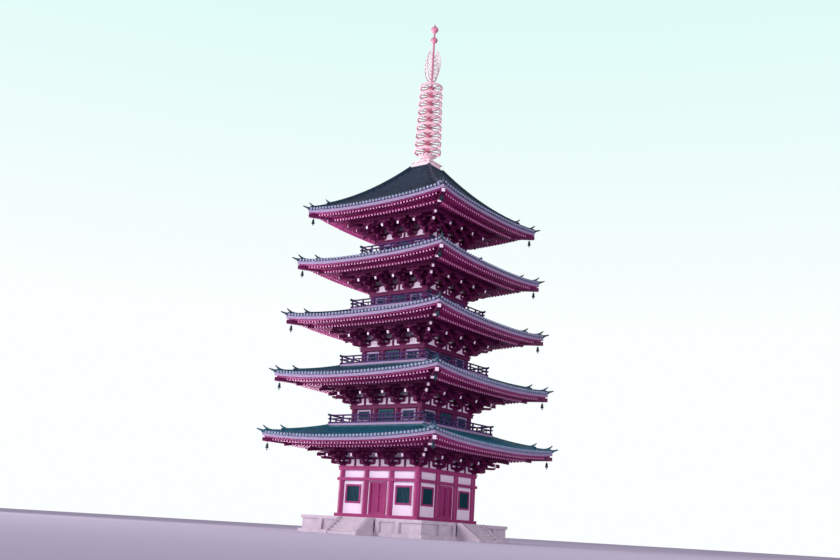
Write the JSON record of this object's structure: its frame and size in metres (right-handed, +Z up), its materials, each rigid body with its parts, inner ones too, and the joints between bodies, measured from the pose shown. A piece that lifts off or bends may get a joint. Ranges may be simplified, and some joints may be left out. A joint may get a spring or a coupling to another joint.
{
  "type": "half-size scale model of a five-storey pagoda",
  "caption": "Square multi-storey pagoda with wide upturned tiled eaves on stepped brackets, railed balconies and a ringed metal finial, on a low stone base with steps.",
  "frame": {"origin": "centre of the tower at ground level, under the stone base", "axes": "+Z up, +X to the right of the front side, +Y to the back"},
  "size_m": [9.5384, 9.5384, 24.15],
  "materials": {
    "lacquer": "crimson lacquer, satin",
    "plaster": "pale lime plaster, matt",
    "lattice": "blue-green painted lattice boards, satin",
    "roof_tile": "dark blue-green tiles, semi-matt",
    "gilt_metal": "gilded, rosy, softly worn",
    "granite": "fine-dressed pale granite"
  },
  "bodies": {
    "root": {"stone_base": "granite", "steps_front": "granite", "steps_right": "granite", "steps_back": "granite", "steps_left": "granite", "frame_1": "lacquer", "walls_1": "plaster", "window_boards_1": "lattice", "doors_front": "lacquer", "doors_right": "lacquer", "doors_back": "lacquer", "doors_left": "lacquer", "brackets_1": "lacquer", "eaves_1": "lacquer", "roof_1": "roof_tile", "balcony_floor_2": "lacquer", "balcony_railing_2": "lacquer", "walls_2": "lacquer", "door_and_window_boards_2": "lattice", "brackets_2": "lacquer", "eaves_2": "lacquer", "roof_2": "roof_tile", "balcony_floor_3": "lacquer", "balcony_railing_3": "lacquer", "walls_3": "lacquer", "door_and_window_boards_3": "lattice", "brackets_3": "lacquer", "eaves_3": "lacquer", "roof_3": "roof_tile", "balcony_floor_4": "lacquer", "balcony_railing_4": "lacquer", "walls_4": "lacquer", "door_and_window_boards_4": "lattice", "brackets_4": "lacquer", "eaves_4": "lacquer", "roof_4": "roof_tile", "balcony_floor_5": "lacquer", "balcony_railing_5": "lacquer", "walls_5": "lacquer", "door_and_window_boards_5": "lattice", "brackets_5": "lacquer", "eaves_5": "lacquer", "roof_5": "roof_tile", "finial_base": "gilt_metal", "finial_rings": "gilt_metal", "finial_flame": "gilt_metal", "finial_jewels": "gilt_metal"}
  },
  "joints": []
}
